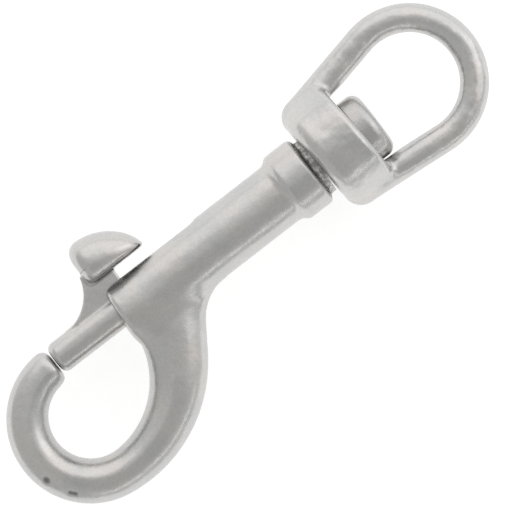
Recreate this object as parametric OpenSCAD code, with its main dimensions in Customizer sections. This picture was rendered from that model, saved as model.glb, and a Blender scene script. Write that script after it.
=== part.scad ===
// Swivel-eye bolt snap: a cast hook with a barrel, a sprung thumb bolt that closes the hook,
// and a ring-shaped eye that turns on a headed pin pressed into the barrel's end.
// The barrel lies along X, the hook bulges to -Y, the thumb lever stands up to +Y.

/* [Barrel] */
// Outside diameter of the barrel
barrel_d = 10.5; // [10.2:0.1:10.8]
// Length of the barrel, from the mouth that the bolt leaves to the rim of the cap
barrel_len = 38.4; // [37.5:0.1:40]
// Diameter of the thicker cap at the swivel end
cap_d = 12.2; // [11.6:0.1:12.8]
// Length of the cap, with its flare
cap_len = 5.6; // [5:0.1:6.2]
// Diameter of the boss between the cap and the eye
neck_d = 10; // [9.4:0.1:10.4]
// Length of the slot that the lever slides in, with its round end
slot_len = 18.7; // [18.6:0.1:19.4]
// Width of the slot
slot_w = 3.2; // [3.2:0.05:3.5]

/* [Hook] */
// Radius of the hook's outer edge round the bend
bend_r = 13.54; // [13.2:0.02:13.9]
// Radius of the opening inside the bend
opening_r = 6.81; // [6.5:0.01:7]
// Full thickness of the hook, across its plane, at the nose
nose_t = 5.9; // [5.4:0.1:6.2]
// Full thickness of the hook where it joins the barrel
root_t = 8.4; // [7.6:0.1:8.8]

/* [Bolt] */
// Diameter of the sliding bolt
bolt_d = 5.3; // [5:0.1:5.4]
// Distance from the mouth to the bolt's tip with the hook closed
bolt_reach = 12.7; // [12.5:0.1:12.8]
// Distance of the bolt's centre line from the barrel's, towards the lever
bolt_rise = 0.85; // [0.7:0.05:0.9]
// Thickness of the web between the bolt and the thumb piece
web_t = 3; // [2.6:0.1:3]
// Full width of the thumb piece
thumb_w = 9.6; // [8:0.1:10.4]

/* [Swivel eye] */
// Diameter of the collar that turns on the pin
collar_d = 19.1; // [18.6:0.1:19.6]
// Length of the collar along its own axis
collar_len = 8.4; // [8:0.1:8.6]
// Thickness of the ring
ring_t = 4.7; // [4.3:0.1:5]
// Radius of the loop inside the ring
loop_r = 8.1; // [7.8:0.1:8.4]
// Lean of the eye on its pin, which the loose bore allows
lean = 3.5; // [3:0.1:3.8]

/* [Swivel pin] */
// Diameter of the pin's shank
shank_d = 6; // [5.6:0.1:6.2]
// Diameter of the pin's head
head_d = 11.5; // [11:0.1:12]
// Thickness of the pin's head
head_t = 3.7; // [3.3:0.1:4]

/* [Spring] */
// Thickness of the spring wire
wire_t = 0.6; // [0.5:0.05:0.7]
// Outside diameter of the spring
coil_d = 4.9; // [4.6:0.1:5]
// Number of turns
turns = 14; // [12:1:15]

/* [Hidden] */
$fn = 64;

steel = [0.74, 0.73, 0.71];
steel_dark = [0.6, 0.6, 0.6];
barrel_r = barrel_d / 2;
bolt_r = bolt_d / 2;
ring_r = ring_t / 2;
collar_r = collar_d / 2;
running_gap = 0.08;

// The hook's outline, in the barrel's frame: the mouth's face is x = 0, the axis is y = 0.
// The outer edge is two arcs that meet smoothly, a straight run, and a fillet on to the barrel.
bend_c = [-14.04, -10.04];
arm_step = 10.5;
arm_turn = 81.4;
arm_r = bend_r + arm_step;
arm_c = bend_c + arm_step * [cos(arm_turn), sin(arm_turn)];
fillet_r = 8.25;
fillet_c = [17.16, -barrel_r - fillet_r];
// The inner edge is two arcs that meet at the bottom; the second runs up to the mouth.
opening_c = [-13.65, -9.65];
throat_step = 7.24;
throat_turn = 92.3;
throat_r = opening_r + throat_step;
throat_c = opening_c + throat_step * [cos(throat_turn), sin(throat_turn)];
hook_c = [-13.85, -9.85];
nose_x = -bolt_reach - 0.25;
nose_round = 1.4;

// Stations along the barrel
bolt_tail = 8.7;
spring_seat = 33.6;
neck_end = barrel_len + 1.85;
slot_open = 1;

// The eye leans about a point on the barrel's axis. Lengths run along its own axis from there.
lean_x = 36.5;
collar_start = 3.3;
collar_end = collar_start + collar_len;
ring_c = 23.1;
ring_mid_r = loop_r + ring_r;
leg_spread = 8.6;
lean_room = collar_end * tan(lean);
eye_bore_r = shank_d / 2 + lean_room + 0.1;
// The collar is hollowed at both ends: the pin's head sinks into one hollow, the neck into the other
head_hollow = 0.75;
head_hollow_r = head_d / 2 + lean_room + 0.2;
neck_hollow = 1.6;
neck_hollow_r = neck_d / 2 + 0.9;
head_start = lean_x + (collar_end - head_hollow) * cos(lean) + head_d / 2 * sin(lean) + 0.12;

// The middle of the whole part's box, and its lowest point, are the origin.
x_low = bend_c.x - bend_r;
x_high = lean_x + ring_c * cos(lean) + ring_mid_r + ring_r;
y_low = arm_c.y - arm_r;
y_high = ring_c * sin(lean) + ring_mid_r + ring_r;
origin = [(x_low + x_high) / 2, (y_low + y_high) / 2, -collar_r];

// ---- helpers ----

function unit(a) = [cos(a), sin(a)];
function turned_left(v) = [-v.y, v.x];

// Distance from p along direction d to the far side of a circle
function reach(p, d, c, r) = let (v = c - p, along = v * d) along + sqrt(along * along - v * v + r * r);

// A superellipse's coordinate: squarer than a circle as power falls below 1
function curved(s, power) = sign(s) * pow(abs(s), power);

// Points along an arc
function arc(c, r, from, to, steps) = [for (i = [0:steps]) c + r * unit(from + (to - from) * i / steps)];

// Closed skin over rings that all hold the same number of points, with flat ends
module loft(rings) {
    count = len(rings);
    sides = len(rings[0]);
    walls = [
        for (i = [0:count - 2], j = [0:sides - 1])
            let (k = (j + 1) % sides)
            each [
                [i * sides + j, (i + 1) * sides + j, (i + 1) * sides + k],
                [i * sides + j, (i + 1) * sides + k, i * sides + k]
            ]
    ];
    first = [for (j = [0:sides - 1]) j];
    last = [for (j = [sides - 1:-1:0]) (count - 1) * sides + j];
    polyhedron([for (ring = rings) each ring], concat([first], walls, [last]));
}

// A round bar along X from one station to another
module bar(from, to, r, y = 0) {
    translate([from, y, 0]) rotate([0, 90, 0]) cylinder(h = to - from, r = r);
}

// A turned shape along X: the profile's points are [radius, station]
module turned(profile) {
    rotate([0, 90, 0]) rotate_extrude() polygon(profile);
}

module in_frame() {
    translate(-origin) children();
}

// The eye's own frame: X along its axis, leaning towards the lever
module in_eye() {
    in_frame() translate([lean_x, 0, 0]) rotate([0, 0, lean]) children();
}

// ---- hook and barrel: one casting ----

// One section of the hook, from the inner edge to the outer one: an oval that is thickest nearer
// the inner edge, and falls away more like a bevel on that side
hook_sides = 28;
crest_share = 0.42;
inner_power = 1.29;
outer_power = 0.95;
function oval(inner, outer, half_t) = let (crest = inner + crest_share * (outer - inner)) [
    for (j = [0:hook_sides - 1])
        let (
            a = 360 * j / hook_sides,
            power = cos(a) < 0 ? inner_power : outer_power,
            p = crest + (cos(a) < 0 ? crest - inner : outer - crest) * curved(cos(a), power)
        )
        [p.x, p.y, -half_t * curved(sin(a), power)]
];

// Thickness grows evenly from the nose, at 0, to the root, at 1
function half_thickness(f) = (nose_t + (root_t - nose_t) * f) / 2;

// The straight run of the outer edge touches the arm's arc and the fillet
cross_gap = norm(fillet_c - arm_c);
cross_a = atan2(fillet_c.y - arm_c.y, fillet_c.x - arm_c.x);
run_a = cross_a - acos((arm_r + fillet_r) / cross_gap);
run_start = arm_c + arm_r * unit(run_a);
run_end = fillet_c - fillet_r * unit(run_a);

first_ray = 96;
last_ray = 345;
ray_steps = 27;
root_steps = 7;

function ray_section(a, f) = let (
    d = unit(a),
    opening_side = a < 270 - 90 + throat_turn - 4 ? reach(hook_c, d, opening_c, opening_r)
        : reach(hook_c, d, throat_c, throat_r),
    bend_side = a < 180 + arm_turn ? reach(hook_c, d, bend_c, bend_r) : reach(hook_c, d, arm_c, arm_r)
) oval(hook_c + opening_side * d, hook_c + bend_side * d, half_thickness(f));

// Past the last ray the two edges run on at their own pace, to the mouth and up the fillet
last_d = unit(last_ray);
throat_last = hook_c + reach(hook_c, last_d, throat_c, throat_r) * last_d - throat_c;
throat_last_a = atan2(throat_last.y, throat_last.x);
arm_last = hook_c + reach(hook_c, last_d, arm_c, arm_r) * last_d;
root_outer = concat([run_start, (run_start + run_end) / 2, run_end], arc(fillet_c, fillet_r, run_a + 180, 90, 4));

function root_section(i) = let (g = (i + 1) / root_steps)
    oval(throat_c + throat_r * unit(throat_last_a * (1 - g)), root_outer[i], half_thickness(0.7 + 0.3 * g));

// The nose's end is rounded off over a short length
nose_top = bend_c.y + bend_r;
nose_low = opening_c.y + opening_r;
function nose_section(a) = let (inset = nose_round * (1 - cos(a)), x = nose_x - nose_round * (1 - sin(a)))
    oval([x, nose_low + inset], [x, nose_top - inset], half_thickness(0) - inset);

hook_rings = concat(
    [for (a = [90, 60, 30, 0]) nose_section(a)],
    [for (i = [0:ray_steps]) ray_section(first_ray + (last_ray - first_ray) * i / ray_steps, 0.7 * i / ray_steps)],
    [for (i = [0:root_steps - 1]) root_section(i)],
    [oval([1.2, -0.6], [18, -3.4], root_t / 2 - 0.2)]
);

mouth_round = 0.9;
cap_flare = 1.3;
rim_round = 0.6;
barrel_profile = concat(
    [[0, 0]],
    [for (p = arc([barrel_r - mouth_round, mouth_round], mouth_round, -90, 0, 5)) p],
    [[barrel_r, barrel_len - cap_len], [cap_d / 2, barrel_len - cap_len + cap_flare]],
    [for (p = arc([cap_d / 2 - rim_round, barrel_len - rim_round], rim_round, 0, 90, 4)) p],
    [[neck_d / 2, barrel_len], [neck_d / 2, neck_end], [0, neck_end]]
);

module slot() {
    straight = slot_len - slot_w / 2;
    translate([-slot_open, bolt_rise, -slot_w / 2]) cube([slot_open + straight, barrel_r + 1, slot_w]);
    translate([straight, bolt_rise, 0]) rotate([-90, 0, 0]) cylinder(h = barrel_r + 1, d = slot_w);
}

module hook_body() {
    color(steel) in_frame() difference() {
        union() {
            turned(barrel_profile);
            loft(hook_rings);
        }
        bar(-1, spring_seat, bolt_r + running_gap, bolt_rise);
        bar(spring_seat, neck_end + 1, shank_d / 2);
        slot();
    }
}

// ---- bolt: round rod, web and thumb piece in one ----

bolt_round = 1.4;
bolt_profile = concat(
    [[0, -bolt_reach]],
    arc([bolt_r - bolt_round, -bolt_reach + bolt_round], bolt_round, -90, 0, 5),
    [[bolt_r, bolt_tail - 0.4], [bolt_r - 0.4, bolt_tail], [0, bolt_tail]]
);

web_c = [-8.54, 10.67];
web_r = web_c.y - bolt_rise - bolt_r + 0.03;
web_back = 3.6;
web_top = 9.5;

// The thumb piece: narrow and flat below, widest at its belly, domed above,
// blunt at the front and drawn to a point at the back
thumb_base = 6.9;
thumb_front = -1.05;
thumb_back = 9.9;
thumb_c = [1, 4.55];
thumb_r = 9.5;
thumb_steps = 22;
thumb_sides = 16;
thumb_belly = 0.38;
thumb_under = 0.5;
thumb_cut = asin(thumb_belly / thumb_under);
front_round = 1.5;

function thumb_height(x) = thumb_c.y + sqrt(thumb_r * thumb_r - pow(x - thumb_c.x, 2)) - thumb_base;
function thumb_half_width(x) =
    thumb_w / 2 * pow(1 - pow(abs(x - thumb_c.x) / (thumb_back - thumb_c.x + 0.25), 2), 0.7);
// How far the front's rounded edge is drawn in at a station
function front_inset(x) = let (t = max(0, 1 - (x - thumb_front) / front_round))
    front_round * (1 - sqrt(1 - t * t));

function thumb_ring(x) = let (
    inset = front_inset(x),
    h = thumb_height(x) - inset,
    w = thumb_half_width(x) - inset
) [
    for (j = [0:thumb_sides])
        let (
            a = -thumb_cut + (180 + 2 * thumb_cut) * j / thumb_sides,
            rise = sin(a) * (sin(a) > 0 ? 1 - thumb_belly : thumb_under)
        )
        [x, thumb_base + h * (thumb_belly + rise), w * cos(a)]
];

// Stations crowd towards the blunt front
function thumb_station(i) = thumb_front + (thumb_back - thumb_front) * pow(i / thumb_steps, 1.6);

module bolt() {
    color(steel) in_frame() union() {
        translate([0, bolt_rise, 0]) turned(bolt_profile);
        translate([0, 0, -web_t / 2]) linear_extrude(web_t) polygon(concat(
            [[web_c.x, bolt_rise]],
            arc(web_c, web_r, -90, -6, 14),
            [[thumb_front + 0.3, web_top], [web_back, web_top], [web_back, bolt_rise]]
        ));
        loft([for (i = [thumb_steps:-1:0]) thumb_ring(thumb_station(i))]);
    }
}

// ---- spring between the bolt's tail and the pin ----

spring_from = bolt_tail + wire_t / 2 + 0.02;
spring_to = spring_seat - wire_t / 2 - 0.02;
coil_r = (coil_d - wire_t) / 2;
turn_steps = 18;
wire_sides = 8;
end_turns = 1.25;
close_pitch = wire_t * 1.03;
open_pitch = (spring_to - spring_from - 2 * end_turns * close_pitch) / (turns - 2 * end_turns);

// Station of the wire after some turns: close coils at both ends, open ones between
function wire_x(t) = spring_from + close_pitch * min(t, end_turns)
    + open_pitch * max(0, min(t, turns - end_turns) - end_turns)
    + close_pitch * max(0, t - turns + end_turns);

function wire_ring(t) = let (a = 360 * t) [
    for (j = [0:wire_sides - 1])
        let (b = 360 * j / wire_sides, r = coil_r + wire_t / 2 * cos(b))
        [wire_x(t) + wire_t / 2 * sin(b), bolt_rise + r * cos(a), r * sin(a)]
];

module bolt_spring() {
    color(steel_dark) in_frame() loft([for (i = [0:turns * turn_steps]) wire_ring(i / turn_steps)]);
}

// ---- swivel eye: ring, legs and collar in one ----

collar_low_round = 2.3;
collar_top_round = 1;
collar_profile = concat(
    [[0, collar_start]],
    arc([collar_r - collar_low_round, collar_start + collar_low_round], collar_low_round, -90, 0, 7),
    arc([collar_r - collar_top_round, collar_end - collar_top_round], collar_top_round, 0, 90, 5),
    [[0, collar_end]]
);
leg_top = [ring_c - ring_mid_r * sin(leg_spread), ring_mid_r * cos(leg_spread)];
leg_foot_x = collar_start + ring_r + 0.6;
leg_foot = leg_top - (leg_top.x - leg_foot_x) * [1, tan(leg_spread)];
ring_sides = 24;
ring_steps = 36;

// The bar's section at a point, for a bar that runs along the direction d
function bar_ring(p, d, r) = [
    for (j = [0:ring_sides - 1])
        let (a = 360 * j / ring_sides, q = p + r * cos(a) * unit(d - 90))
        [q.x, q.y, -r * sin(a)]
];

// From the foot of one leg, up and round the ring, to the foot of the other
function foot_ring(a, side) = let (d = side > 0 ? leg_spread : 180 - leg_spread, foot = [leg_foot.x, side * leg_foot.y])
    bar_ring(foot - side * ring_r * cos(a) * unit(d), d, ring_r * sin(a));

foot_angles = [12, 30, 50, 70, 90];
ring_from = 90 + leg_spread;
eye_rings = concat(
    [for (a = foot_angles) foot_ring(a, 1)],
    [
        for (i = [0:ring_steps])
            let (a = ring_from * (1 - 2 * i / ring_steps))
            bar_ring([ring_c, 0] + ring_mid_r * unit(a), a - 90, ring_r)
    ],
    [for (i = [4:-1:0]) foot_ring(foot_angles[i], -1)]
);

module swivel_eye() {
    color(steel) in_eye() difference() {
        union() {
            turned(collar_profile);
            loft(eye_rings);
        }
        bar(collar_start - 1, collar_end + 1, eye_bore_r);
        bar(collar_start - 1, collar_start + neck_hollow, neck_hollow_r);
        bar(collar_end - head_hollow, collar_end + 1, head_hollow_r);
    }
}

// ---- swivel pin: pressed into the neck, its head holds the eye ----

head_round = 1.7;
head_end = head_start + head_t;
pin_profile = concat(
    [[0, spring_seat], [shank_d / 2, spring_seat], [shank_d / 2, head_start], [head_d / 2 - 0.3, head_start]],
    [[head_d / 2, head_start + 0.3]],
    arc([head_d / 2 - head_round, head_end - head_round], head_round, 0, 90, 5),
    [[0, head_end]]
);

module swivel_pin() {
    color(steel_dark) in_frame() turned(pin_profile);
}

hook_body();
bolt();
bolt_spring();
swivel_eye();
swivel_pin();
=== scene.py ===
import math

import bpy
import numpy as np
from mathutils import Matrix, Vector


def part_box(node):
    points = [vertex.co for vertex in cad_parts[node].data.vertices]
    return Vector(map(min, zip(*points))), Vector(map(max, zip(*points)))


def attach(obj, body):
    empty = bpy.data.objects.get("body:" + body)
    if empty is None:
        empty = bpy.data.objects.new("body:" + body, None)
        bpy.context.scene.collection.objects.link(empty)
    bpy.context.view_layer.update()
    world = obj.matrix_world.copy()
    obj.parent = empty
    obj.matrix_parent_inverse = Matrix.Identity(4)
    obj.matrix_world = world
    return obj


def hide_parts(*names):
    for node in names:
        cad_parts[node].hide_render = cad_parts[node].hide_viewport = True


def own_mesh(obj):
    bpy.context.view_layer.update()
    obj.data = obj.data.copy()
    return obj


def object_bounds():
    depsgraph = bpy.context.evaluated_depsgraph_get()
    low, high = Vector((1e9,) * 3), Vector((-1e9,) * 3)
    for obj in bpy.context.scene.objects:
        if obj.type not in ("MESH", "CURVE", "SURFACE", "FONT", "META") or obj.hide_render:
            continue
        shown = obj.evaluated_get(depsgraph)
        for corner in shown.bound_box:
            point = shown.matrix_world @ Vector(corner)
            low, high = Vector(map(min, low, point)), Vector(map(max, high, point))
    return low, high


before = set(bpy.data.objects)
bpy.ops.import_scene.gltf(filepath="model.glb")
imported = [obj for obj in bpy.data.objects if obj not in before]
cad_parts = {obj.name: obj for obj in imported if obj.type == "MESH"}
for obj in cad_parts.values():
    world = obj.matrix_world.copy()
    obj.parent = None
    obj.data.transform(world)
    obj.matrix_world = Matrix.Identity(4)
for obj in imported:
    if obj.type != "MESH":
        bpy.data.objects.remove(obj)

CAD_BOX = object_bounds()

# ---------------------------------------------------------------------------
# Placing. The shapes are worked out in millimetres in the snap's own frame:
# the barrel's mouth is x = 0 and its axis is y = z = 0. The frame says where that is.
# ---------------------------------------------------------------------------
MM = 0.001
PIN_LOW, PIN_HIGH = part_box("swivel_pin")
SPRING_SEAT = 33.6
AXIS_POINT = Vector((
    PIN_LOW.x - SPRING_SEAT * MM,
    (PIN_LOW.y + PIN_HIGH.y) / 2,
    (PIN_LOW.z + PIN_HIGH.z) / 2,
))

# Barrel and bore
BARREL_R, BARREL_LEN = 5.25, 38.4
CAP_R, CAP_LEN = 6.1, 5.1
NECK_R, NECK_END = 5.0, 40.3
SLOT_LEN, SLOT_HALF = 18.7, 1.6
BORE_R = 2.73
# Roundings of the barrel's mouth and far end, of the cap's rims, and of the cap's fillet
MOUTH_ROUND, BARREL_END_ROUND, CAP_ROUND, CAP_FILLET = 1.0, 0.6, 0.7, 1.4
# Half the length of the neck's own bar, most of which is inside the barrel
NECK_HALF = 3
# The bore and the slot are cut from this far outside the mouth
CUT_START = 2
# The play drawn round the pin's shank in its pressed hole
PRESS_GAP = 0.02
# Rounded edges: the bore's, the slot's, how much more the slot's has at the mouth, and how far in
BORE_EDGE, SLOT_EDGE, SLOT_FLARE, FLARE_LEN = 0.4, 0.25, 1.3, 1.6

# Hook outline: arcs of the outer and inner edges, then a straight run and a fillet
BEND_C, BEND_R = np.array((-14.04, -10.04)), 13.54
ARM_STEP, ARM_TURN = 10.5, math.radians(81.4)
ARM_C = BEND_C + ARM_STEP * np.array((math.cos(ARM_TURN), math.sin(ARM_TURN)))
ARM_R = BEND_R + ARM_STEP
OPENING_C, OPENING_R = np.array((-13.65, -9.65)), 6.81
THROAT_STEP, THROAT_TURN = 7.24, math.radians(92.3)
THROAT_C = OPENING_C + THROAT_STEP * np.array((math.cos(THROAT_TURN), math.sin(THROAT_TURN)))
THROAT_R = OPENING_R + THROAT_STEP
FILLET_R = 8.25
FILLET_C = np.array((17.16, -BARREL_R - FILLET_R))
HOOK_C = np.array((-13.85, -9.85))
NOSE_X = -12.95
# The nose's half of the hook lies below this X
NOSE_SIDE = NOSE_X + 6
NOSE_ROUND, ROOT_ROUND = 1.8, 2.6
NOSE_T, ROOT_T = 5.9, 8.4
# The turn round the hook, in degrees, where it starts to thicken, and the turn it takes
THICKEN_FROM, THICKEN_OVER = 90, 290
# The outline's turns are counted on from here, in degrees
TURN_START = 60
# The section's highest line, as a share of the way from the inner edge, and its roundness
CREST, INNER_POWER, OUTER_POWER = 0.44, 1.62, 2.0
# Near the barrel the inner side is this much fuller: past an X, from a Y and over a run
FULLER, FULLER_X, FULLER_Y, FULLER_RUN = 1.0, -6, -13, 9
# The fillet between hook and barrel: its least size and how much more it has at most
SEAM_LEAST, SEAM_MORE = 0.25, 2.2
# It is down to its least at this X, over this run, and full this far off the middle plane
SEAM_END, SEAM_RUN, SEAM_Z = 16, 12, 2.4

# Bolt
BOLT_R, BOLT_REACH, BOLT_TAIL, BOLT_RISE = 2.65, 12.78, 8.7, 0.85
TIP_ROUND, TAIL_ROUND = 1.2, 0.5
WEB_C, WEB_R, WEB_BACK, WEB_HALF = np.array((-8.54, 10.67)), 7.2, 3.6, 1.5
# The web's top, the run over which it thins to the front, and its edges and fillet
WEB_TOP, WEB_THINNING, WEB_ROUND = 9.0, 2.5, 0.35
THUMB_BASE, THUMB_FRONT, THUMB_BACK, THUMB_HALF = 6.9, -1.05, 9.9, 4.8
THUMB_C, THUMB_R = np.array((1.0, 4.55)), 9.5
# How far up the thumb piece is widest, as a share of its height
THUMB_BELLY = 0.36
# How far its rounding would reach below the widest line, on the same scale
THUMB_UNDER = 0.5
# Its width seen from above: how far past its back end it would close, and its fullness
THUMB_PAST, THUMB_FULLNESS = 0.25, 0.7
THUMB_BACK_ROUND, THUMB_FRONT_ROUND, THUMB_BASE_ROUND, THUMB_FILLET = 0.8, 2.6, 0.6, 0.5

# Spring
WIRE_R, COIL_R, TURNS, END_TURNS = 0.3, 2.45, 14, 1.25
TURN_STEPS, WIRE_SIDES = 28, 12
# The gap at each end of the spring, and the closed coils' pitch in wire radii
SPRING_GAP, CLOSED_PITCH = 0.03, 2.06

# Swivel eye and pin
LEAN, LEAN_X = math.radians(3.5), 36.5
COLLAR_R, COLLAR_START, COLLAR_END = 9.55, 3.3, 11.7
RECESS_R, RECESS = 6.7, 0.75
SOCKET_R, SOCKET = 5.9, 1.6
RING_C, RING_R, RING_MID_R = 23.1, 2.35, 10.45
LEG_SPREAD = math.radians(8.6)
EYE_BORE_R = 3.83
SHANK_R, HEAD_R, HEAD_T = 3.0, 5.75, 3.7
COLLAR_START_ROUND, COLLAR_END_ROUND, RING_FILLET = 2.3, 1.0, 1.3
# Each leg runs into the collar and stops its own radius and this much from the collar's start
LEG_INSET = 0.6
# The pin's hole and its hollows are cut up to this far past the collar
CUT_PAST = 3
EYE_BORE_ROUND, HOLLOW_ROUND = 0.5, 0.4
HEAD_START_ROUND, HEAD_END_ROUND, HEAD_FILLET = 0.35, 1.7, 0.4
SHANK_IN_HEAD = 1
# A distance that is outside everything
FAR = 50


# ---------------------------------------------------------------------------
# Distance fields: each says how far a point is outside a shape, negative inside
# ---------------------------------------------------------------------------
def blend_min(a, b, k):
    """Union with a fillet of about k."""
    h = np.clip(k - np.abs(a - b), 0, None) / k
    return np.minimum(a, b) - h * h * k / 4


def blend_max(a, b, k):
    """Intersection with an edge rounded by about k."""
    return -blend_min(-a, -b, k)


def round_bar(x, r, start, end, radius, start_round, end_round):
    """A bar along X whose two rims have their own rounding."""
    mid = (start + end) / 2
    q = np.where(x < mid, start_round, end_round)
    dx = np.abs(x - mid) - ((end - start) / 2 - q)
    dr = r - (radius - q)
    return np.minimum(np.maximum(dx, dr), 0) + np.hypot(np.maximum(dx, 0), np.maximum(dr, 0)) - q


def barrel_field(x, y, z):
    r = np.hypot(y, z)
    tube = round_bar(x, r, 0, BARREL_LEN, BARREL_R, MOUTH_ROUND, BARREL_END_ROUND)
    cap = round_bar(x, r, BARREL_LEN - CAP_LEN, BARREL_LEN, CAP_R, CAP_ROUND, CAP_ROUND)
    neck = np.maximum(r - NECK_R, np.abs(x - NECK_END + NECK_HALF) - NECK_HALF)
    return np.minimum(blend_min(tube, cap, CAP_FILLET), neck)


def outer_depth(x, y):
    """How deep a point lies inside the hook's outer edge, along the arm."""
    gap = FILLET_C - ARM_C
    run_a = math.atan2(gap[1], gap[0]) - math.acos((ARM_R + FILLET_R) / np.linalg.norm(gap))
    normal = np.array((math.cos(run_a), math.sin(run_a)))
    start = ARM_C + ARM_R * normal
    length = np.linalg.norm(FILLET_C - FILLET_R * normal - start)
    along = (y - start[1]) * normal[0] - (x - start[0]) * normal[1]
    arc = ARM_R - np.hypot(x - ARM_C[0], y - ARM_C[1])
    run = -(x - start[0]) * normal[0] - (y - start[1]) * normal[1]
    fillet = np.hypot(x - FILLET_C[0], y - FILLET_C[1]) - FILLET_R
    arm = np.where(along < 0, arc, np.where(along < length, run, fillet))
    on_bend = (x - BEND_C[0]) * math.sin(ARM_TURN) - (y - BEND_C[1]) * math.cos(ARM_TURN) < 0
    bend = BEND_R - np.hypot(x - BEND_C[0], y - BEND_C[1])
    return np.where(on_bend & (x < NOSE_SIDE), bend, arm)


def hook_field(x, y, z):
    upper = y > HOOK_C[1]
    from_opening = (x - OPENING_C[0]) * math.sin(THROAT_TURN)
    left = from_opening - (y - OPENING_C[1]) * math.cos(THROAT_TURN) < 0
    nose_side = upper & (x < NOSE_SIDE)
    opening = np.hypot(x - OPENING_C[0], y - OPENING_C[1]) - OPENING_R
    throat = np.hypot(x - THROAT_C[0], y - THROAT_C[1]) - THROAT_R
    inner = np.where(nose_side | (left & ~upper), opening, throat)
    bend = BEND_R - np.hypot(x - BEND_C[0], y - BEND_C[1])
    outer = np.where(nose_side, bend, outer_depth(x, y))
    wide = np.maximum(inner + outer, 1.0)
    from_crest = inner / wide - CREST
    across = np.where(from_crest < 0, from_crest / CREST, from_crest / (1 - CREST))
    turn = np.degrees(np.arctan2(y - HOOK_C[1], x - HOOK_C[0]))
    turn = (turn - TURN_START) % 360 + TURN_START
    progress = np.clip((turn - THICKEN_FROM) / THICKEN_OVER, 0, 1)
    thick = (NOSE_T + (ROOT_T - NOSE_T) * progress) / 2
    near_barrel = np.clip((y - FULLER_Y) / FULLER_RUN, 0, 1) * (x > FULLER_X)
    inner_power = INNER_POWER + FULLER * near_barrel * near_barrel * (3 - 2 * near_barrel)
    power = np.where(from_crest < 0, inner_power, OUTER_POWER)
    size = (np.abs(across) ** power + np.abs(z / thick) ** power) ** (1 / power)
    body = (size - 1) * np.minimum(wide / 2, thick)
    nose = blend_max(body, x - NOSE_X, NOSE_ROUND)
    root = np.maximum(blend_max(body, y, ROOT_ROUND), x - FILLET_C[0])
    return np.where(nose_side, nose, np.where(x > NOSE_SIDE, root, body))


# Small dents left by casting: middle in mm, radius, depth
DENTS = (
    (-25.6, -13.5, 2.8, 0.8, 0.2),
    (-23.8, -17.4, 2.8, 0.55, 0.16),
    (-23.2, -18.1, 2.8, 0.55, 0.16),
)


def in_dent(x, y, z, cx, cy, cz, radius):
    """1 in the middle of a dent, fading to 0 round it."""
    return np.exp(-((x - cx) ** 2 + (y - cy) ** 2 + (z - cz) ** 2) / radius ** 2)


def dented(x, y, z, body):
    for *place, depth in DENTS:
        body = body + depth * in_dent(x, y, z, *place)
    return body


def hook_body_field(x, y, z):
    seam = SEAM_MORE * np.clip((SEAM_END - x) / SEAM_RUN, 0, 1)
    fillet = SEAM_LEAST + seam * np.clip(np.abs(z) / SEAM_Z, 0, 1)
    body = blend_min(barrel_field(x, y, z), hook_field(x, y, z), fillet)
    body = dented(x, y, z, body)
    bore = np.hypot(y - BOLT_RISE, z) - BORE_R
    bore = np.maximum(bore, np.maximum(x - SPRING_SEAT, -CUT_START - x))
    pin_bore = np.maximum(np.hypot(y, z) - SHANK_R - PRESS_GAP, SPRING_SEAT - x)
    past = np.maximum(x - SLOT_LEN + SLOT_HALF, 0)
    slot = np.maximum(np.hypot(past, z) - SLOT_HALF, np.maximum(BOLT_RISE - y, -CUT_START - x))
    body = blend_max(body, -slot, SLOT_EDGE + SLOT_FLARE * np.clip(1 - x / FLARE_LEN, 0, 1))
    body = blend_max(body, -bore, BORE_EDGE)
    return np.maximum(body, -pin_bore)


def thumb_field(x, y, z):
    # The least values keep roots and divisions sound at points outside the shape
    arc = np.sqrt(np.maximum(THUMB_R ** 2 - (x - THUMB_C[0]) ** 2, 0.04))
    high = np.maximum(arc + THUMB_C[1] - THUMB_BASE, 0.3)
    along = np.abs(x - THUMB_C[0]) / (THUMB_BACK - THUMB_C[0] + THUMB_PAST)
    wide = np.maximum(THUMB_HALF * np.maximum(1 - along ** 2, 0.001) ** THUMB_FULLNESS, 0.2)
    rise = y - THUMB_BASE - THUMB_BELLY * high
    reach = np.where(rise > 0, (1 - THUMB_BELLY) * high, THUMB_UNDER * high)
    size = np.sqrt((rise / reach) ** 2 + (z / wide) ** 2)
    dome = (size - 1) * np.minimum(reach, wide)
    dome = blend_max(dome, x - THUMB_BACK, THUMB_BACK_ROUND)
    dome = blend_max(dome, THUMB_FRONT - x, THUMB_FRONT_ROUND)
    return blend_max(dome, THUMB_BASE - y, THUMB_BASE_ROUND)


def bolt_field(x, y, z):
    r = np.hypot(y - BOLT_RISE, z)
    rod = round_bar(x, r, -BOLT_REACH, BOLT_TAIL, BOLT_R, TIP_ROUND, TAIL_ROUND)
    edge = WEB_R - np.hypot(x - WEB_C[0], y - WEB_C[1])
    outline = np.maximum(np.maximum(edge, x - WEB_BACK), np.maximum(y - WEB_TOP, BOLT_RISE - y))
    outline = np.maximum(outline, WEB_C[0] - x)
    half = WEB_HALF * np.sqrt(np.clip((x - WEB_C[0]) / WEB_THINNING, 0.01, 1))
    web = blend_max(outline, np.abs(z) - half, WEB_ROUND)
    body = blend_min(rod, web, WEB_ROUND)
    return blend_min(body, thumb_field(x, y, z), THUMB_FILLET)


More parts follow.
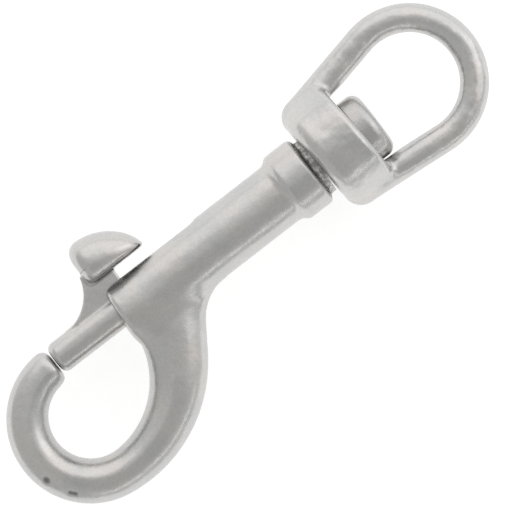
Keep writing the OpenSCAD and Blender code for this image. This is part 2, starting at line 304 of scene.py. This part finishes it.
def ring_field(a, b, z):
    """The eye's ring and its two straight legs, with a along the eye and b across it."""
    around = np.abs(np.arctan2(b, a - RING_C))
    torus = np.hypot(np.hypot(a - RING_C, b) - RING_MID_R, z) - RING_R
    torus = np.where(around < math.pi / 2 + LEG_SPREAD, torus, FAR)
    top = np.array((RING_C - RING_MID_R * math.sin(LEG_SPREAD), RING_MID_R * math.cos(LEG_SPREAD)))
    way = -np.array((math.cos(LEG_SPREAD), math.sin(LEG_SPREAD)))
    length = (top[0] - COLLAR_START - RING_R - LEG_INSET) / math.cos(LEG_SPREAD)
    along = np.clip((a - top[0]) * way[0] + (np.abs(b) - top[1]) * way[1], 0, length)
    off_line = np.hypot(a - top[0] - along * way[0], np.abs(b) - top[1] - along * way[1])
    return np.minimum(torus, np.hypot(off_line, z) - RING_R)


def swivel_eye_field(x, y, z):
    a = math.cos(LEAN) * (x - LEAN_X) + math.sin(LEAN) * y
    b = -math.sin(LEAN) * (x - LEAN_X) + math.cos(LEAN) * y
    r = np.hypot(b, z)
    collar = round_bar(
        a, r, COLLAR_START, COLLAR_END, COLLAR_R, COLLAR_START_ROUND, COLLAR_END_ROUND)
    body = blend_min(collar, ring_field(a, b, z), RING_FILLET)
    near_collar = a < COLLAR_END + CUT_PAST
    bore = np.where(near_collar, r - EYE_BORE_R, FAR)
    recess = np.maximum(r - RECESS_R, COLLAR_END - RECESS - a)
    recess = np.where(near_collar, recess, FAR)
    socket = np.maximum(r - SOCKET_R, a - COLLAR_START - SOCKET)
    body = blend_max(body, -bore, EYE_BORE_ROUND)
    return blend_max(body, -np.minimum(recess, socket), HOLLOW_ROUND)


def swivel_pin_field(x, y, z):
    r = np.hypot(y, z)
    head_start = (PIN_HIGH.x - AXIS_POINT.x) / MM - HEAD_T
    head_end = head_start + HEAD_T
    head = round_bar(x, r, head_start, head_end, HEAD_R, HEAD_START_ROUND, HEAD_END_ROUND)
    middle = (SPRING_SEAT + head_start + SHANK_IN_HEAD) / 2
    half = (head_start + SHANK_IN_HEAD - SPRING_SEAT) / 2
    shank = np.maximum(r - SHANK_R, np.abs(x - middle) - half)
    return blend_min(head, shank, HEAD_FILLET)


# ---------------------------------------------------------------------------
# Meshing: one vertex in each grid cell that the surface crosses, moved on to the surface
# ---------------------------------------------------------------------------
# The least squared slope and the longest single move when a vertex is put on the surface
LEAST_SLOPE, LONGEST_MOVE = 0.05, 0.3
# Rounds of evening the vertices out, and how far each goes to its neighbours' middle
EVENING_ROUNDS, EVENING_SHARE = 3, 0.5
# Corners sharper than this count as the sharpest in the "bend" attribute
SHARPEST_BEND = 4
# The cast face starts this far before the barrel's end and fades in, then out at its rim
RAW_EARLY, RAW_FADE, RAW_RIM, RAW_RIM_FADE = 0.1, 0.15, 0.5, 0.2


def slope(field, p, h=0.02):
    """The field's gradient at each point."""
    out = np.empty_like(p)
    for axis in range(3):
        step = np.zeros(3)
        step[axis] = h
        out[:, axis] = (field(*(p + step).T) - field(*(p - step).T)) / (2 * h)
    return out


def on_surface(field, p, tries=3):
    for _ in range(tries):
        g = slope(field, p)
        move = field(*p.T) / np.maximum((g * g).sum(1), LEAST_SLOPE)
        p = p - np.clip(move, -LONGEST_MOVE, LONGEST_MOVE)[:, None] * g
    return p


def grid_cells(values):
    """The crossing cells' numbers in a grid of -1, and each one's middle of edge crossings."""
    shape = np.array(values.shape) - 1
    total = np.zeros((*shape, 3))
    count = np.zeros(shape)
    for axis in range(3):
        near = [slice(None)] * 3
        far = [slice(None)] * 3
        near[axis], far[axis] = slice(0, -1), slice(1, None)
        a, b = values[tuple(near)], values[tuple(far)]
        crossed = (a < 0) != (b < 0)
        with np.errstate(divide="ignore", invalid="ignore"):
            t = np.where(crossed, a / (a - b), 0)
        others = [i for i in range(3) if i != axis]
        for u in (0, 1):
            for v in (0, 1):
                cut = [slice(None)] * 3
                cut[others[0]] = slice(u, u + shape[others[0]])
                cut[others[1]] = slice(v, v + shape[others[1]])
                hit, part = crossed[tuple(cut)], t[tuple(cut)]
                count += hit
                total[..., axis] += part
                total[..., others[0]] += hit * u
                total[..., others[1]] += hit * v
    used = count > 0
    number = np.full(shape, -1, np.int64)
    number[used] = np.arange(used.sum())
    place = np.argwhere(used) + total[used] / count[used][:, None]
    return number, place


def grid_quads(values, number):
    """A quad round each grid edge that the surface crosses."""
    quads = []
    for axis in range(3):
        b, c = (axis + 1) % 3, (axis + 2) % 3
        near = [slice(1, -1)] * 3
        far = [slice(1, -1)] * 3
        near[axis], far[axis] = slice(0, -1), slice(1, None)
        low, high = values[tuple(near)] < 0, values[tuple(far)] < 0
        at = np.argwhere(low != high)
        at[:, b] += 1
        at[:, c] += 1
        flip = low[low != high]
        ring = []
        for db, dc in ((-1, -1), (0, -1), (0, 0), (-1, 0)):
            cell = at.copy()
            cell[:, b] += db
            cell[:, c] += dc
            ring.append(number[tuple(cell.T)])
        ring = np.stack(ring, 1)
        ring[~flip] = ring[~flip][:, ::-1]
        quads.append(ring)
    return np.concatenate(quads)


def relax(p, quads, share):
    """Moves each vertex part of the way to the middle of its neighbours."""
    total, count = np.zeros_like(p), np.zeros(len(p))
    for i, j in ((0, 1), (1, 2), (2, 3), (3, 0)):
        for u, v in ((i, j), (j, i)):
            np.add.at(total, quads[:, u], p[quads[:, v]])
            np.add.at(count, quads[:, u], 1)
    return p + share * (total / np.maximum(count, 1)[:, None] - p)


def bend_of(field, p, h=0.3):
    """How the surface curves: above 0 on outside edges, below 0 in inside corners."""
    total = -6 * field(*p.T)
    for axis in range(3):
        step = np.zeros(3)
        step[axis] = h
        total = total + field(*(p + step).T) + field(*(p - step).T)
    return total / (h * h)


def as_cast(p):
    """1 on the neck's end, which is left as it was cast."""
    on_neck = np.clip((p[:, 0] - BARREL_LEN + RAW_EARLY) / RAW_FADE, 0, 1)
    to_rim = NECK_R + RAW_RIM - np.hypot(p[:, 1], p[:, 2])
    return on_neck * np.clip(to_rim / RAW_RIM_FADE, 0, 1)


def dent_darkening(p):
    """1 in a dent, where the colour is made darker."""
    return sum(in_dent(*p.T, *place) for *place, _ in DENTS)


def add_attribute(mesh, name, values):
    mesh.attributes.new(name, "FLOAT", "POINT").data.foreach_set("value", values.astype(np.float32))


def field_piece(name, field, low, high, step):
    """A mesh object of the surface where the field is 0, inside the box from low to high."""
    axes = [np.arange(a - 2 * step, b + 3 * step, step) for a, b in zip(low, high)]
    values = field(*np.meshgrid(*axes, indexing="ij"))
    number, place = grid_cells(values)
    quads = grid_quads(values, number)
    p = np.array([a[0] for a in axes]) + place * step
    for _ in range(EVENING_ROUNDS):
        p = on_surface(field, relax(p, quads, EVENING_SHARE), 2)
    p = on_surface(field, p)
    normals = slope(field, p)
    normals /= np.linalg.norm(normals, axis=1)[:, None]
    mesh = bpy.data.meshes.new(name)
    world = p * MM + np.array(AXIS_POINT)
    mesh.from_pydata(world.tolist(), [], quads.tolist())
    mesh.polygons.foreach_set("use_smooth", np.ones(len(quads), bool))
    on_hook = name == "hook_casting"
    add_attribute(mesh, "bend", np.clip(bend_of(field, p), -SHARPEST_BEND, SHARPEST_BEND))
    add_attribute(mesh, "raw", as_cast(p) if on_hook else np.zeros(len(p)))
    add_attribute(mesh, "dent_darkening", dent_darkening(p) if on_hook else np.zeros(len(p)))
    mesh.normals_split_custom_set_from_vertices(normals.tolist())
    piece = bpy.data.objects.new(name, mesh)
    bpy.context.scene.collection.objects.link(piece)
    return piece


def coil_points():
    """Rings of points along the wire, and how many rings there are."""
    start, end = BOLT_TAIL + WIRE_R + SPRING_GAP, SPRING_SEAT - WIRE_R - SPRING_GAP
    closed_pitch = CLOSED_PITCH * WIRE_R
    open_turns = TURNS - 2 * END_TURNS
    open_pitch = (end - start - 2 * END_TURNS * closed_pitch) / open_turns
    t = np.linspace(0, TURNS, TURNS * TURN_STEPS + 1)
    x = start + closed_pitch * np.minimum(t, END_TURNS)
    x = x + open_pitch * np.clip(t - END_TURNS, 0, open_turns)
    x = x + closed_pitch * np.maximum(t - TURNS + END_TURNS, 0)
    angle = 2 * math.pi * t[:, None]
    round_wire = np.linspace(0, 2 * math.pi, WIRE_SIDES, endpoint=False)
    r = COIL_R - WIRE_R + WIRE_R * np.cos(round_wire)
    points = np.stack((
        x[:, None] + WIRE_R * np.sin(round_wire) + 0 * angle,
        BOLT_RISE + r * np.cos(angle),
        r * np.sin(angle),
    ), 2).reshape(-1, 3)
    return points, len(t)


def make_spring(steel):
    """Closed coils at both ends, open ones between."""
    points, rings = coil_points()
    faces = [
        (i * WIRE_SIDES + j, i * WIRE_SIDES + (j + 1) % WIRE_SIDES,
         (i + 1) * WIRE_SIDES + (j + 1) % WIRE_SIDES, (i + 1) * WIRE_SIDES + j)
        for i in range(rings - 1) for j in range(WIRE_SIDES)
    ]
    faces.append(tuple(range(WIRE_SIDES))[::-1])
    faces.append(tuple((rings - 1) * WIRE_SIDES + j for j in range(WIRE_SIDES)))
    mesh = bpy.data.meshes.new("coil_spring")
    mesh.from_pydata((points * MM + np.array(AXIS_POINT)).tolist(), [], faces)
    mesh.polygons.foreach_set("use_smooth", np.ones(len(faces), bool))
    mesh.materials.append(steel)
    spring = bpy.data.objects.new("coil_spring", mesh)
    bpy.context.scene.collection.objects.link(spring)
    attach(spring, "body")
    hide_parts("bolt_spring")
    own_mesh(spring)


# ---------------------------------------------------------------------------
# Materials
# ---------------------------------------------------------------------------
class Nodes:
    """Short names for making one material's nodes."""

    def __init__(self, name):
        self.material = bpy.data.materials.new(name)
        self.material.use_nodes = True
        self.tree = self.material.node_tree
        self.shader = self.tree.nodes["Principled BSDF"]
        self.point = self.tree.nodes.new("ShaderNodeTexCoord").outputs["Object"]

    def link(self, a, b):
        self.tree.links.new(a, b)

    def stretched(self, scale, turn=(0, 0, 0)):
        n = self.tree.nodes.new("ShaderNodeMapping")
        n.inputs["Scale"].default_value = scale
        n.inputs["Rotation"].default_value = turn
        self.link(self.point, n.inputs["Vector"])
        return n.outputs["Vector"]

    def noise(self, size, detail=2.0, rough=0.5, vector=None):
        """Noise whose features are about size metres across."""
        n = self.tree.nodes.new("ShaderNodeTexNoise")
        n.inputs["Scale"].default_value = 1 / size if vector is None else 1
        n.inputs["Detail"].default_value = detail
        n.inputs["Roughness"].default_value = rough
        self.link(vector or self.point, n.inputs["Vector"])
        return n.outputs["Fac"]

    def fit(self, value, low, high, to_low, to_high, smooth=False):
        n = self.tree.nodes.new("ShaderNodeMapRange")
        if smooth:
            n.interpolation_type = "SMOOTHSTEP"
        for key, v in (("From Min", low), ("From Max", high), ("To Min", to_low), ("To Max", to_high)):
            n.inputs[key].default_value = v
        self.link(value, n.inputs["Value"])
        return n.outputs["Result"]

    def math(self, kind, a, b):
        n = self.tree.nodes.new("ShaderNodeMath")
        n.operation = kind
        for socket, v in zip(n.inputs, (a, b)):
            if isinstance(v, (int, float)):
                socket.default_value = v
            else:
                self.link(v, socket)
        return n.outputs["Value"]

    def colour(self, factor, a, b):
        n = self.tree.nodes.new("ShaderNodeMix")
        n.data_type = "RGBA"
        self.link(factor, n.inputs["Factor"])
        for key, v in (("A", a), ("B", b)):
            socket = [s for s in n.inputs if s.name == key and s.type == "RGBA"][0]
            if isinstance(v, tuple):
                socket.default_value = (*v, 1)
            else:
                self.link(v, socket)
        return [s for s in n.outputs if s.type == "RGBA"][0]

    def attribute(self, name):
        n = self.tree.nodes.new("ShaderNodeAttribute")
        n.attribute_name = name
        return n.outputs["Fac"]

    def bump(self, height, distance, strength=1.0, below=None):
        n = self.tree.nodes.new("ShaderNodeBump")
        n.inputs["Distance"].default_value = distance
        n.inputs["Strength"].default_value = strength
        self.link(height, n.inputs["Height"])
        if below is not None:
            self.link(below, n.inputs["Normal"])
        return n.outputs["Normal"]


def toned(tone, red, green, blue):
    return (red * tone, green * tone, blue * tone)


def steel_colour(m, tone, hollow, edge, raw):
    """Clouded tone, painted shade in inside corners and creases, brighter worn edges, darker dents and
    the raw cast face.
    """
    clouds = m.fit(m.noise(0.007, 3, 0.55), 0.35, 0.65, 0, 1, True)
    base = m.colour(clouds, toned(tone, 1.03, 1.0, 0.975), toned(tone, 0.94, 0.95, 0.945))
    # Painted shade: inside corners and creases are darkened
    base = m.colour(m.math("MULTIPLY", hollow, 0.8), base, toned(tone, 0.4, 0.39, 0.38))
    base = m.colour(m.math("MULTIPLY", edge, 0.4), base, toned(tone, 1.2, 1.2, 1.19))
    # The dents are made darker in colour
    darker_dent = m.fit(m.attribute("dent_darkening"), 0.25, 0.8, 0, 0.85, True)
    base = m.colour(darker_dent, base, toned(tone, 0.22, 0.21, 0.2))
    speckle = m.fit(m.noise(0.0005, 2, 0.55), 0.3, 0.7, 0, 1)
    base = m.colour(m.math("MULTIPLY", speckle, 0.2), base, toned(tone, 0.6, 0.59, 0.58))
    cast = m.fit(m.noise(0.0007, 3, 0.7), 0.4, 0.6, 0, 1)
    cast = m.colour(cast, toned(tone, 0.6, 0.59, 0.57), toned(tone, 1.3, 1.28, 1.25))
    return m.colour(raw, base, cast)


def steel_scratches(m):
    """Fine scratches in two directions, 1 on a scratch."""
    first = m.noise(1, 1, 0.5, m.stretched((160, 5200, 5200), (0.3, 0.2, 0.5)))
    second = m.noise(1, 1, 0.5, m.stretched((190, 6100, 6100), (0.1, 0.5, -1.1)))
    first = m.fit(first, 0.66, 0.72, 0, 1)
    second = m.fit(second, 0.67, 0.73, 0, 1)
    return m.math("MAXIMUM", first, second)


def steel_relief(m, grain, ripple, fine, blotch, scratches, raw):
    """Broad hand-finished waves, then pits and grain, then scratches."""
    waves = m.bump(m.noise(0.0048, 2, 0.5), ripple)
    waves = m.bump(m.noise(0.0019, 2, 0.5), 0.16 * ripple, below=waves)
    cast = m.math("MULTIPLY", m.noise(0.0006, 3, 0.7), m.math("MULTIPLY", raw, 4.5))
    height = m.math("ADD", m.math("ADD", fine, cast), m.math("MULTIPLY", blotch, 2.0))
    skin = m.bump(height, 0.000014 * grain, below=waves)
    return m.bump(scratches, 0.000004, strength=-1.0, below=skin)


def stainless(name, tone=0.6, rough=0.25, grain=0.7, ripple=0.00016):
    """Tumbled and polished stainless casting."""
    m = Nodes(name)
    bend = m.attribute("bend")
    # 1 in inside corners: rougher there, and it sets the painted shade in the colour
    hollow = m.fit(bend, -2.2, -0.5, 1, 0, True)
    edge = m.fit(bend, 0.6, 2.6, 0, 1, True)
    raw = m.attribute("raw")
    fine = m.noise(0.00035, 3, 0.6)
    blotch = m.noise(0.0022, 4, 0.6)
    scratches = steel_scratches(m)
    value = m.fit(blotch, 0.3, 0.7, rough - 0.04, rough + 0.06)
    value = m.math("ADD", value, m.fit(fine, 0.3, 0.7, -0.03 * grain, 0.04 * grain))
    value = m.math("ADD", value, m.math("MULTIPLY", hollow, 0.12))
    value = m.math("ADD", value, m.math("MULTIPLY", scratches, 0.05))
    value = m.math("SUBTRACT", value, m.math("MULTIPLY", edge, 0.05))
    value = m.math("ADD", value, m.math("MULTIPLY", raw, 0.3))
    m.link(value, m.shader.inputs["Roughness"])
    m.link(steel_colour(m, tone, hollow, edge, raw), m.shader.inputs["Base Color"])
    m.shader.inputs["Metallic"].default_value = 1.0
    relief = steel_relief(m, grain, ripple, fine, blotch, scratches, raw)
    m.link(relief, m.shader.inputs["Normal"])
    return m.material


def floor_paper():
    """Pale matt paper on a light table, so it glows a little."""
    m = Nodes("floor_paper")
    fibre = m.noise(0.002, 4, 0.6)
    tone = m.colour(m.fit(fibre, 0.3, 0.7, 0, 1), (0.4, 0.4, 0.4), (0.43, 0.43, 0.43))
    m.link(tone, m.shader.inputs["Base Color"])
    m.shader.inputs["Roughness"].default_value = 0.9
    m.shader.inputs["Emission Color"].default_value = (1, 1, 1, 1)
    m.shader.inputs["Emission Strength"].default_value = 0.75
    m.link(m.bump(fibre, 0.00002), m.shader.inputs["Normal"])
    return m.material


# ---------------------------------------------------------------------------
# Pieces
# ---------------------------------------------------------------------------
STEEL = stainless("cast_stainless")
EYE_STEEL = stainless("eye_stainless", tone=0.62, grain=0.9, ripple=0.0004)
PIN_STEEL = stainless("pin_stainless", tone=0.55, rough=0.25, grain=1.8)
WIRE_STEEL = stainless("spring_wire", tone=0.52, rough=0.22, grain=0.6)

PIECES = (
    ("hook_casting", "hook_body", "body", "cast_stainless", hook_body_field,
     (-27.7, -23.9, -6.3), (39.2, 6.3, 6.3), 0.3, STEEL),
    ("thumb_bolt", "bolt", "bolt", "cast_stainless", bolt_field,
     (-12.8, -1.9, -4.9), (10, 14.2, 4.9), 0.2, STEEL),
    ("eye_casting", "swivel_eye", "eye", "cast_stainless", swivel_eye_field,
     (38, -12, -9.7), (72.5, 14.4, 9.7), 0.28, EYE_STEEL),
    ("headed_pin", "swivel_pin", "body", "pin_stainless", swivel_pin_field,
     (33.5, -5.9, -5.9), (52.1, 5.9, 5.9), 0.2, PIN_STEEL),
)


def make_pieces():
    for name, node, body, slot, field, low, high, step, steel in PIECES:
        piece = field_piece(name, field, low, high, step)
        piece.data.materials.append(steel)
        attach(piece, body)
        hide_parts(node)
    make_spring(WIRE_STEEL)


# ---------------------------------------------------------------------------
# Camera, light and floor
# ---------------------------------------------------------------------------
# In the picture the barrel climbs to the right at this angle, seen square on from above.
BARREL_CLIMB = math.radians(37.7)
PICTURE_UP = Vector((math.sin(BARREL_CLIMB), math.cos(BARREL_CLIMB), 0))
PICTURE_RIGHT = Vector((math.cos(BARREL_CLIMB), -math.sin(BARREL_CLIMB), 0))
CAMERA_DISTANCE = 0.8
PICTURE_WIDTH = 0.0819
AIM_RIGHT, AIM_UP = 0.00084, -0.0001
FLOOR_SIZE = 6


def facing(place, right, up, back):
    """The matrix of something at place, with these three axes."""
    return Matrix.Translation(place) @ Matrix((right, up, back)).transposed().to_4x4()


def towards(azimuth, elevation=0):
    """A direction. The azimuth turns from the picture's right to its top."""
    turn, rise = math.radians(azimuth), math.radians(elevation)
    flat = PICTURE_RIGHT * math.cos(turn) + PICTURE_UP * math.sin(turn)
    return flat * math.cos(rise) + Vector((0, 0, math.sin(rise)))


def make_camera():
    low, high = CAD_BOX
    middle = Vector(((low.x + high.x) / 2, (low.y + high.y) / 2, AXIS_POINT.z))
    aim = middle + PICTURE_RIGHT * AIM_RIGHT + PICTURE_UP * AIM_UP
    data = bpy.data.cameras.new("camera")
    camera = bpy.data.objects.new("camera", data)
    data.sensor_width = 36
    data.lens = data.sensor_width * CAMERA_DISTANCE / PICTURE_WIDTH
    data.clip_start, data.clip_end = 0.01, 20
    back = Vector((0, 0, 1))
    right = PICTURE_UP.cross(back).normalized()
    up = back.cross(right)
    camera.matrix_world = facing(aim + back * CAMERA_DISTANCE, right, up, back)
    bpy.context.scene.collection.objects.link(camera)
    bpy.context.scene.camera = camera


def soft_light(name, azimuth, elevation, distance, size, radiance, tint=(1, 1, 1)):
    """A soft box aimed at the object, which the camera itself doesn't see."""
    data = bpy.data.lights.new(name, "AREA")
    data.shape = "RECTANGLE"
    data.size, data.size_y = size
    data.energy = radiance * math.pi * size[0] * size[1]
    data.color = tint
    light = bpy.data.objects.new(name, data)
    way = towards(azimuth, elevation)
    side = way.cross(Vector((0, 0, 1))).normalized()
    light.matrix_world = facing(way * distance, -side, side.cross(way), way)
    light.visible_camera = False
    bpy.context.scene.collection.objects.link(light)


# Which way the sky brightens, as a light's azimuth, and its brightness away from and towards it
SKY_AZIMUTH = 80
WORLD_LOW, WORLD_HIGH = 0.62, 1.0
# Where the brightening starts and ends, as cosines, and the sky's tint
SKY_EDGE, SKY_TINT = (-0.2, 0.9), (1.0, 0.995, 0.985, 1)
# The photographer's dark card, seen in the metal: its middle, its edge as cosines, its shade
CARD_AZIMUTH, CARD_ELEVATION = -60, 62
CARD_EDGE, CARD_DARK = (0.8, 0.95), 0.86
# Each light: name, azimuth, elevation, distance, (width, height), radiance, tint
LIGHTS = (
    ("key", 80, 38, 0.6, (1.6, 0.6), 0.26, (1.0, 0.935, 0.925)),
    ("side", 22, 38, 0.15, (0.1, 0.1), 0.35, (1.0, 0.95, 0.94)),
    ("strip", -52, 22, 0.6, (0.9, 0.045), 1.25, (0.97, 0.98, 1.0)),
)


def sky_step(tree, way, low, high, to_low, to_high):
    """The sky's brightness, which goes from to_low to to_high as it nears the given way."""
    place = tree.nodes.new("ShaderNodeTexCoord")
    dot = tree.nodes.new("ShaderNodeVectorMath")
    dot.operation = "DOT_PRODUCT"
    dot.inputs[1].default_value = way
    tree.links.new(place.outputs["Generated"], dot.inputs[0])
    n = tree.nodes.new("ShaderNodeMapRange")
    n.interpolation_type = "SMOOTHSTEP"
    for key, v in (("From Min", low), ("From Max", high), ("To Min", to_low), ("To Max", to_high)):
        n.inputs[key].default_value = v
    tree.links.new(dot.outputs["Value"], n.inputs["Value"])
    return n.outputs["Result"]


def make_studio():
    world = bpy.data.worlds.new("studio")
    bpy.context.scene.world = world
    world.use_nodes = True
    tree = world.node_tree
    sky = sky_step(tree, towards(SKY_AZIMUTH), *SKY_EDGE, WORLD_LOW, WORLD_HIGH)
    dark = sky_step(tree, towards(CARD_AZIMUTH, CARD_ELEVATION), *CARD_EDGE, 1, CARD_DARK)
    both = tree.nodes.new("ShaderNodeMath")
    both.operation = "MULTIPLY"
    tree.links.new(sky, both.inputs[0])
    tree.links.new(dark, both.inputs[1])
    background = tree.nodes["Background"]
    background.inputs["Color"].default_value = SKY_TINT
    tree.links.new(both.outputs["Value"], background.inputs["Strength"])
    for light in LIGHTS:
        soft_light(*light)


def make_floor():
    low, _ = CAD_BOX
    bpy.ops.mesh.primitive_plane_add(size=FLOOR_SIZE, location=(0, 0, low.z))
    floor = bpy.context.object
    floor.name = "floor"
    floor.data.materials.append(floor_paper())


make_camera()
make_pieces()
make_floor()
make_studio()
bpy.context.scene.view_settings.view_transform = "Standard"
